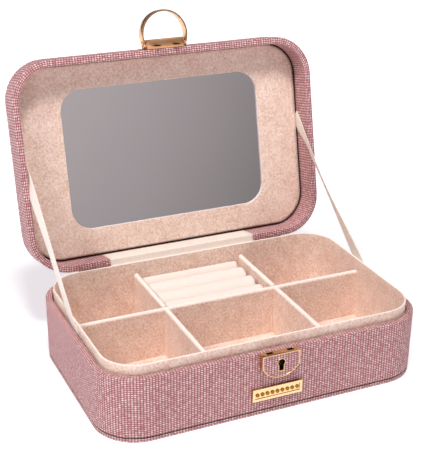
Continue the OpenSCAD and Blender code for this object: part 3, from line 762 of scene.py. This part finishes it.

# Painted shade: the inside of the case and the walls of its two slots, which lie in shade, are
# given a near-black matt material. The key post and the bolt are painted black the same way.
painted_shade_black = mottled(
    "near_black_painted_shade", grain=0.6 * MM, detail=3.0, dark="#0b0807", pale="#1f1713", rough=0.7,
    Specular_IOR_Level=0.2)
for node in ("key_post", "lock_bolt"):
    use(frame["nodes"][node], painted_shade_black)
lock_low, lock_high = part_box("lock_body")
lock_skin = 0.7 * MM
lock_foot = 4 * MM
prong_x = 7 * MM
slot_half_w, slot_half_t = 2 * MM, 0.65 * MM
slot_y = -box_half[1] - 2.2 * MM
slot_lip = 0.1 * MM
slot_depth = 0.9 * MM
filed = 1.9


def by_slots(points):
    """Which rows of points lie within the outline of the two slots, seen from above."""
    return ((np.abs(np.abs(points[:, 0]) - prong_x) < slot_half_w)
            & (np.abs(points[:, 1] - slot_y) < slot_half_t))


# The faces inside the case and on the walls of the slots take the painted shade.
centres = of_faces(lock_case, "center")
inside_case = ((np.abs(centres[:, 0]) < lock_high[0] - lock_skin) & (centres[:, 2] < lock_high[2] - lock_skin)
               & (centres[:, 1] > lock_low[1] + lock_skin) & (centres[:, 2] > lock_low[2] + lock_foot))
inside_slot = by_slots(centres) & (centres[:, 2] < lock_high[2] - slot_lip)
second_material(lock_case, painted_shade_black, inside_case | inside_slot)

# The slots' mouths are filed wider than the prongs need, from front to back.
points = points_of(lock_case)
on_mouth = by_slots(points) & (points[:, 2] > lock_high[2] - slot_depth)
points[:, 1] = np.where(on_mouth, slot_y + filed * (points[:, 1] - slot_y), points[:, 1])
lock_case.data.vertices.foreach_set("co", points.ravel())

# The inset is a flat cut of the cloth, with X and Z as its UV map.
lock_inset = merged_copy("lock_inset", "lock_inset_cloth")
while lock_inset.data.uv_layers:
    lock_inset.data.uv_layers.remove(lock_inset.data.uv_layers[0])
corner_points = np.zeros(len(lock_inset.data.loops), np.int32)
lock_inset.data.loops.foreach_get("vertex_index", corner_points)
flat = points_of(lock_inset)[corner_points][:, [0, 2]]
lock_inset.data.uv_layers.new(name="UVMap").data.foreach_set("uv", flat.ravel())
use(lock_inset, lurex_weave)
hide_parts("lock_inset")
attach(lock_inset, "base")

# ---- Name plate ---------------------------------------------------------------------------
# A cast plate in pale gold with a raised border and a row of nine round beads, held by two
# pins and clips inside the wall.

pale_gold = mottled(
    "polished_pale_gold_plate", grain=2.5 * MM, detail=4.0, dark="#efc98e", pale="#f8dcae",
    rough=(0.2, 0.32), bump=(0.08, 0.1 * MM), Metallic=1.0)
plate = dressed("name_plate", edge=0.16 * MM, body="base", material=pale_gold)

# Painted shade: the beads and the walls of the sunk field are given a darker, dull gold.
gold_painted_shade = mottled(
    "gold_painted_shade", grain=0.7 * MM, detail=3.0, dark="#4f2a08", pale="#c98a3a", rough=0.35, Metallic=1.0)
plate_low, plate_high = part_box("name_plate")
plate_border = 1.55 * MM
field_half_h = 1.5 * MM
field_depth = 0.5 * MM
bead_depth = 0.2 * MM
bead_area = 8 * MM * MM
straight_front = -0.99
# The beads and the walls of the field take the painted shade.
centres = of_faces(plate, "center")
is_wall = ((of_faces(plate, "normal")[:, 1] > straight_front)
           & (centres[:, 1] < plate_low[1] + field_depth))
is_bead = (centres[:, 1] < plate_low[1] + bead_depth) & (of_faces(plate, "area", 1)[:, 0] < bead_area)
middle_z = (plate_low[2] + plate_high[2]) / 2
in_field = ((np.abs(centres[:, 0]) < plate_high[0] - plate_border)
            & (np.abs(centres[:, 2] - middle_z) < field_half_h))
second_material(plate, gold_painted_shade, in_field & (is_wall | is_bead))

# ---- Lid ----------------------------------------------------------------------------------
# A second bent wall wrapped as the base's is, closed by a padded top. It is worked out in the
# closed lid's place, and then turned open about the hinge line. A name that ends in _w is a
# height above the lid's rim.

hinge = next(j for j in frame["joints"] if j["name"] == "lid_hinge")
hinge_y, hinge_z = hinge["pos_m"][1:]
opening = math.radians(hinge["range_deg"][1])
lid_rim = hinge_z + (hinge_z - rim_z)
lid_inset = 4.9 * MM
panel_w = 17 * MM
wall_w = 18.5 * MM
top_w = 24.5 * MM
padded_r = 6 * MM


def open_lid(x, y, z):
    """Turns points of the closed lid open: a rotation about the hinge line, along X."""
    dy, dz = y - hinge_y, z - hinge_z
    return (x + 0 * y, hinge_y + dy * math.cos(opening) + dz * math.sin(opening),
            hinge_z - dy * math.sin(opening) + dz * math.cos(opening))


def at_lid(x, y, z):
    """The same for heights that are measured from the lid's rim."""
    return open_lid(x, y, z + lid_rim)


def turned_shut(points):
    """The rotation undone for rows of points of the open lid: Y, and height above its rim."""
    dy, dz = points[:, 1] - hinge_y, points[:, 2] - hinge_z
    return (hinge_y + dy * math.cos(opening) - dz * math.sin(opening),
            hinge_z + dy * math.sin(opening) + dz * math.cos(opening) - lid_rim)


seam_w = 17.2 * MM
cut_w = panel_w - 0.1 * MM
lid_line, lid_face = closed_skin(
    [(lid_inset, cut_w), (lid_inset, 0), (0, 0), (0, seam_w), (0.7 * MM, seam_w + 0.3 * MM)],
    [(cover_t, seam_w - 0.4 * MM), (cover_t, cover_t), (lid_inset - cover_t, cover_t),
     (lid_inset - cover_t, cut_w)],
    [1.0 * MM, 1.0 * MM, 0.4 * MM])
lid_depth = np.where(np.arange(len(lid_line)) < lid_face, rib_depth, 0)
lid_band = ribbed_skin("lid_cloth_band", lid_line, lid_depth, wave_depth, place=at_lid, pressed=under_strip)
use(lid_band, lurex_weave)
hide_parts("lid_cover")
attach(lid_band, "lid")

# The padded top: a cut of the cloth pulled over foam and tucked in at the seam, so it is
# round at its edge and a little crowned. Its ribs run from front to back.
crown = 0.8 * MM
crown_reach = 40 * MM
edge_turn = np.linspace(0, math.pi / 2, 10)
board_w = 22.05 * MM
ledge_w = wall_w + 0.05 * MM
inner_inset, ledge_inset = 2.05 * MM, 0.45 * MM
top_insets = np.concatenate([
    [inner_inset, inner_inset, ledge_inset, ledge_inset, 0.12 * MM],
    padded_r * (1 - np.cos(edge_turn)), np.linspace(padded_r, box_half[1], 26)[1:]])
top_heights = np.concatenate([
    [board_w, ledge_w, ledge_w, seam_w + 0.3 * MM, seam_w + 0.5 * MM],
    wall_w + padded_r * np.sin(edge_turn), np.full(25, top_w)])
rise = np.clip((top_insets - padded_r) / crown_reach, 0, 1)
top_heights = top_heights + crown * (1 - (1 - rise) ** 2)
x, y = round_the_box(top_insets)
z = np.broadcast_to(top_heights[:, None], x.shape)

# The cloth's map is the top seen from above. It is drawn out by 6 in each metre that a point
# lies past the start of the rounded edge, which is 4 percent at most.
drawn_out = 6
reach = 1 + drawn_out * np.clip(padded_r - top_insets, 0, padded_r)[:, None]
lid_top = grid_piece(
    "lid_top_padding", *at_lid(x, y, z), shut_round(x * reach), shut_round(y * reach),
    around=True, caps=(0,))
use(lid_top, lurex_weave)
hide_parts("lid_padding")
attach(lid_top, "lid")

# ---- Mirror panel and glass ---------------------------------------------------------------
# A card wrapped in velvet, pushed into the lid against its top board. Its rounded window is
# cut out, and the glass lies behind it. It stops short of the hinge, to leave the strip room.

window_half = np.array([147, 96.5]) / 2 * MM
window_y = -0.9 * MM
window_r = 15 * MM
panel_inset = 5.6 * MM
panel_edge_y = box_half[1] - lid_inset - cover_t - 0.6 * MM
panel_q = np.linspace(0, 8, 385)[:-1]
puff = 0.45 * MM


def panel_ring(share, window_grow):
    """Outline between the window, grown by window_grow, and the panel's outer edge, which is
    cut straight at the hinge side. Share goes from 0 at the window to 1."""
    wx, wy = rounded_rectangle(panel_q, *(window_half + window_grow), window_r + window_grow)
    px, py = rounded_rectangle(panel_q, *(box_half - panel_inset), corner - panel_inset)
    py = np.minimum(py, panel_edge_y)
    return wx + share * (px - wx), wy + window_y + share * (py - wy - window_y)


# The panel's section: up the window's cut edge, round the fold, over the puffed velvet, and
# round the outer edge down to the board.
edge_r = 0.35 * MM
turn = np.linspace(0, math.pi / 2, 6)
shares = np.concatenate([[0, 0], np.zeros(6), np.linspace(0, 1, 14)[1:-1] ** 0.8, [1, 1, 1]])
grows = np.concatenate([[2.5 * MM, 0.0], edge_r * (1 - np.cos(turn)), np.full(12 + 3, edge_r)])
heights = np.concatenate([
    [wall_w, wall_w], panel_w + edge_r * (1 - np.sin(turn)), np.full(12, panel_w),
    [panel_w + edge_r, panel_w + 0.9 * MM, wall_w]])
swell = np.where(shares < 1, np.sin(math.pi * shares ** 0.6), 0)
heights = heights + (edge_r - puff * swell) * (shares > 0)
x, y = np.stack([panel_ring(share, grow) for share, grow in zip(shares, grows)], axis=1)
panel = grid_piece(
    "mirror_panel_velvet", *at_lid(x, y, np.broadcast_to(heights[:, None], x.shape)),
    shut_round(x), shut_round(y), around=True)
use(panel, velvet)

# The window's cut edge, which the velvet does not cover, is given a pale lavender white.
pale_cut_edge = mottled(
    "pale_lavender_cut_edge", grain=0.5 * MM, detail=3.0, dark="#ece9f2", pale="#fbf9ff", rough=0.8)
cut_reach = 0.2 * MM
centres = of_faces(panel, "center")
shut_y, height = turned_shut(centres)
cut_edge = ((np.abs(centres[:, 0]) < window_half[0] + cut_reach)
            & (np.abs(shut_y - window_y) < window_half[1] + cut_reach)
            & (height > panel_w + edge_r + 0.01 * MM))
second_material(panel, pale_cut_edge, cut_edge)
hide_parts("mirror_panel")
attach(panel, "lid")

# Silvered glass, seen in a dim room: a clean reflection with a faint warm grey cast.
silvered = mottled(
    "silvered_mirror_glass", grain=60 * MM, detail=1.0, dark="#d9d2d4", pale="#dfd8da", rough=0.03,
    Metallic=1.0)
use(frame["nodes"]["mirror_glass"], silvered)

# ---- Hasp and D-ring ----------------------------------------------------------------------
# A cast bar riveted to the lid's front, with two prongs that drop into the lock. A flat band
# bent to a D turns on a headed pin at each end of the bar.

# Satin plate: the bar is brushed before plating, so it is duller than the ring and the lock.
satin_gold = mottled(
    "satin_rose_gold_plate", grain=1.2 * MM, detail=4.0, dark="#cf996d", pale="#dfac80", rough=0.42,
    bump=(0.1, 0.1 * MM), Metallic=1.0)
hasp = dressed("hasp_bar", edge=0.22 * MM, body="lid", material=satin_gold)

# The prongs take the same near-black material. They are the faces beyond the bar's underside.
under_w = 0.2 * MM
second_material(hasp, painted_shade_black, turned_shut(of_faces(hasp, "center"))[1] < under_w)
dressed("hasp_rivets", edge=0.15 * MM, body="lid", material=rose_gold)
dressed("ring_pins", edge=0.12 * MM, body="lid", material=rose_gold)
dressed("d_ring", edge=0.2 * MM, body="ring", material=rose_gold)

# ---- Ribbons ------------------------------------------------------------------------------
# Two cream satin ribbons stop the lid. Each is glued inside the base's wall and behind the
# mirror panel, and comes up through the gap beside the tray. Both turn a little on the way.

# Satin: a close weave with a soft gloss. Its weft shows as fine lines across the ribbon, drawn
# 0.7 mm apart, which is coarser than the real thread.
weft_pitch = 0.7 * MM
weft_wave = 2 * math.pi / weft_pitch
satin, tree = new_material("cream_satin_ribbon")
ribbon_uv = add_node(tree, "SeparateXYZ", {0: add_node(tree, "UVMap", uv_map="UVMap")})
weft = add_node(tree, "Math", {
    0: add_node(tree, "Math", {0: ribbon_uv.outputs["Y"], 1: weft_wave}, operation="MULTIPLY")},
    operation="SINE")
sheen = add_node(tree, "TexNoise", {
    "Vector": add_node(tree, "UVMap", uv_map="UVMap"), "Scale": 1 / (2.2 * MM), "Detail": 2.0})
shade = add_node(tree, "Mix", {0: sheen, 6: srgb("#e6d9ce"), 7: srgb("#f7eee5")}, data_type="RGBA")
finish_material(tree, add_node(tree, "BsdfPrincipled", {
    "Base Color": shade.outputs[2], "Roughness": 0.5, "Sheen Weight": 0.2, "Sheen Roughness": 0.3,
    "Normal": add_node(tree, "Bump", {"Height": weft, "Strength": 0.25, "Distance": 0.06 * MM})}))

ribbon_w = 10 * MM
ribbon_t = 0.3 * MM
ribbon_y = 2.5 * MM
glued_y = box_half[1] - 82 * MM
ribbon_start = np.array([ribbon_y, rim_z])
ribbon_stop = np.array(at_lid(0, glued_y, panel_w)[1:])
ribbon_along = (ribbon_stop - ribbon_start) / np.linalg.norm(ribbon_stop - ribbon_start)
ribbon_across = np.array([-ribbon_along[1], ribbon_along[0]])
ribbon_free = np.linalg.norm(ribbon_stop - ribbon_start)
tail_low, tail_high = 6.5 * MM, 3.5 * MM
cup = 0.25 * MM


def cloth_band(name, x, y, z, u, v, thickness):
    """A flat band of cloth from a grid of points, given its thickness on both sides."""
    piece = grid_piece(name, x, y, z, u, v)
    solid = piece.modifiers.new("thickness", "SOLIDIFY")
    solid.thickness = thickness
    solid.offset = 0
    return piece


# Each ribbon bows inwards, is slightly cupped, and turns by some degrees. The higher late is,
# the nearer to the lid it turns.
for name, side, turned, late, bow in (
        ("ribbon_left", -1, 14, 3.0, 0.4 * MM),
        ("ribbon_right", 1, 24, 1.3, 0.8 * MM)):
    low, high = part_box(name)
    t = np.linspace(-tail_low, ribbon_free + tail_high, 81)[:, None]
    w = np.linspace(-ribbon_w / 2, ribbon_w / 2, 9)[None]
    free = np.clip(t / ribbon_free, 0, 1)
    twist = math.radians(turned) * np.sin(math.pi * free ** late) ** 1.2
    flat_w = w * np.cos(twist)
    y = ribbon_start[0] + t * ribbon_along[0] + flat_w * ribbon_across[0]
    z = ribbon_start[1] + t * ribbon_along[1] + flat_w * ribbon_across[1]
    inward = bow * np.sin(math.pi * free) ** 3 + w * np.sin(twist)
    cupped = cup * np.sin(math.pi * free) ** 2 * (1 - (2 * w / ribbon_w) ** 2)
    x = (low[0] + high[0]) / 2 - side * (inward + cupped) + 0 * y
    u, v = np.broadcast_to(w, x.shape), np.broadcast_to(t, x.shape)
    ribbon = cloth_band(name + "_satin", x, y, z, u, v, 0.8 * ribbon_t)
    use(ribbon, satin)
    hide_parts(name)
    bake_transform(ribbon)

# ---- Hinge cloth --------------------------------------------------------------------------
# The hinge is cloth: a cream strip inside, over both rims, and a spine of the rose cloth glued
# across the gap behind.


def lid_place(v, w):
    """Y and Z of a point of the open lid, v from its hinge edge and w up from its rim."""
    return at_lid(0, box_half[1] - v, w)[1:]


def cross_band(name, line, half, thickness):
    """A (y, z) line carried along X to either side, and the line's length."""
    line = refine(line, 0.8 * MM)
    length = along(line)
    x = np.broadcast_to(np.linspace(-half, half, 61)[None], (len(line), 61))
    y = np.broadcast_to(line[:, :1], x.shape)
    z = np.broadcast_to(line[:, 1:], x.shape)
    return cloth_band(name, x, y, z, x, np.broadcast_to(length[:, None], x.shape), thickness), length[-1]


strip_t = 0.3 * MM
sink = strip_t / 2
strip_line = rounded_profile([
    lid_place(lid_inset - sink, panel_w - 0.3 * MM), lid_place(lid_inset - sink, sink), lid_place(0, sink),
    (box_half[1], rim_z - sink), (box_half[1] - base_inset + sink, rim_z - sink),
    (box_half[1] - base_inset + sink, rim_z - turn_in + 0.5 * MM)],
    [0.9 * MM] * 4)
hinge_strip, strip_length = cross_band("hinge_strip_satin", strip_line, strip_half, strip_t)
use(hinge_strip, satin)
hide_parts("hinge_strip")
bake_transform(hinge_strip)

spine_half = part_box("hinge_spine")[1][0]
spine_leg = 13 * MM
half_c = cover_t / 2
spine_line = rounded_profile([
    (box_half[1] + half_c, rim_z - spine_leg), (box_half[1] + half_c, rim_z - cover_t),
    lid_place(-half_c, cover_t), lid_place(-half_c, spine_leg)], [1.2 * MM] * 2)
hinge_spine, spine_length = cross_band("hinge_spine_cloth", spine_line, spine_half, cover_t)
use(hinge_spine, lurex_weave)
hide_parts("hinge_spine")
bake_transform(hinge_spine)
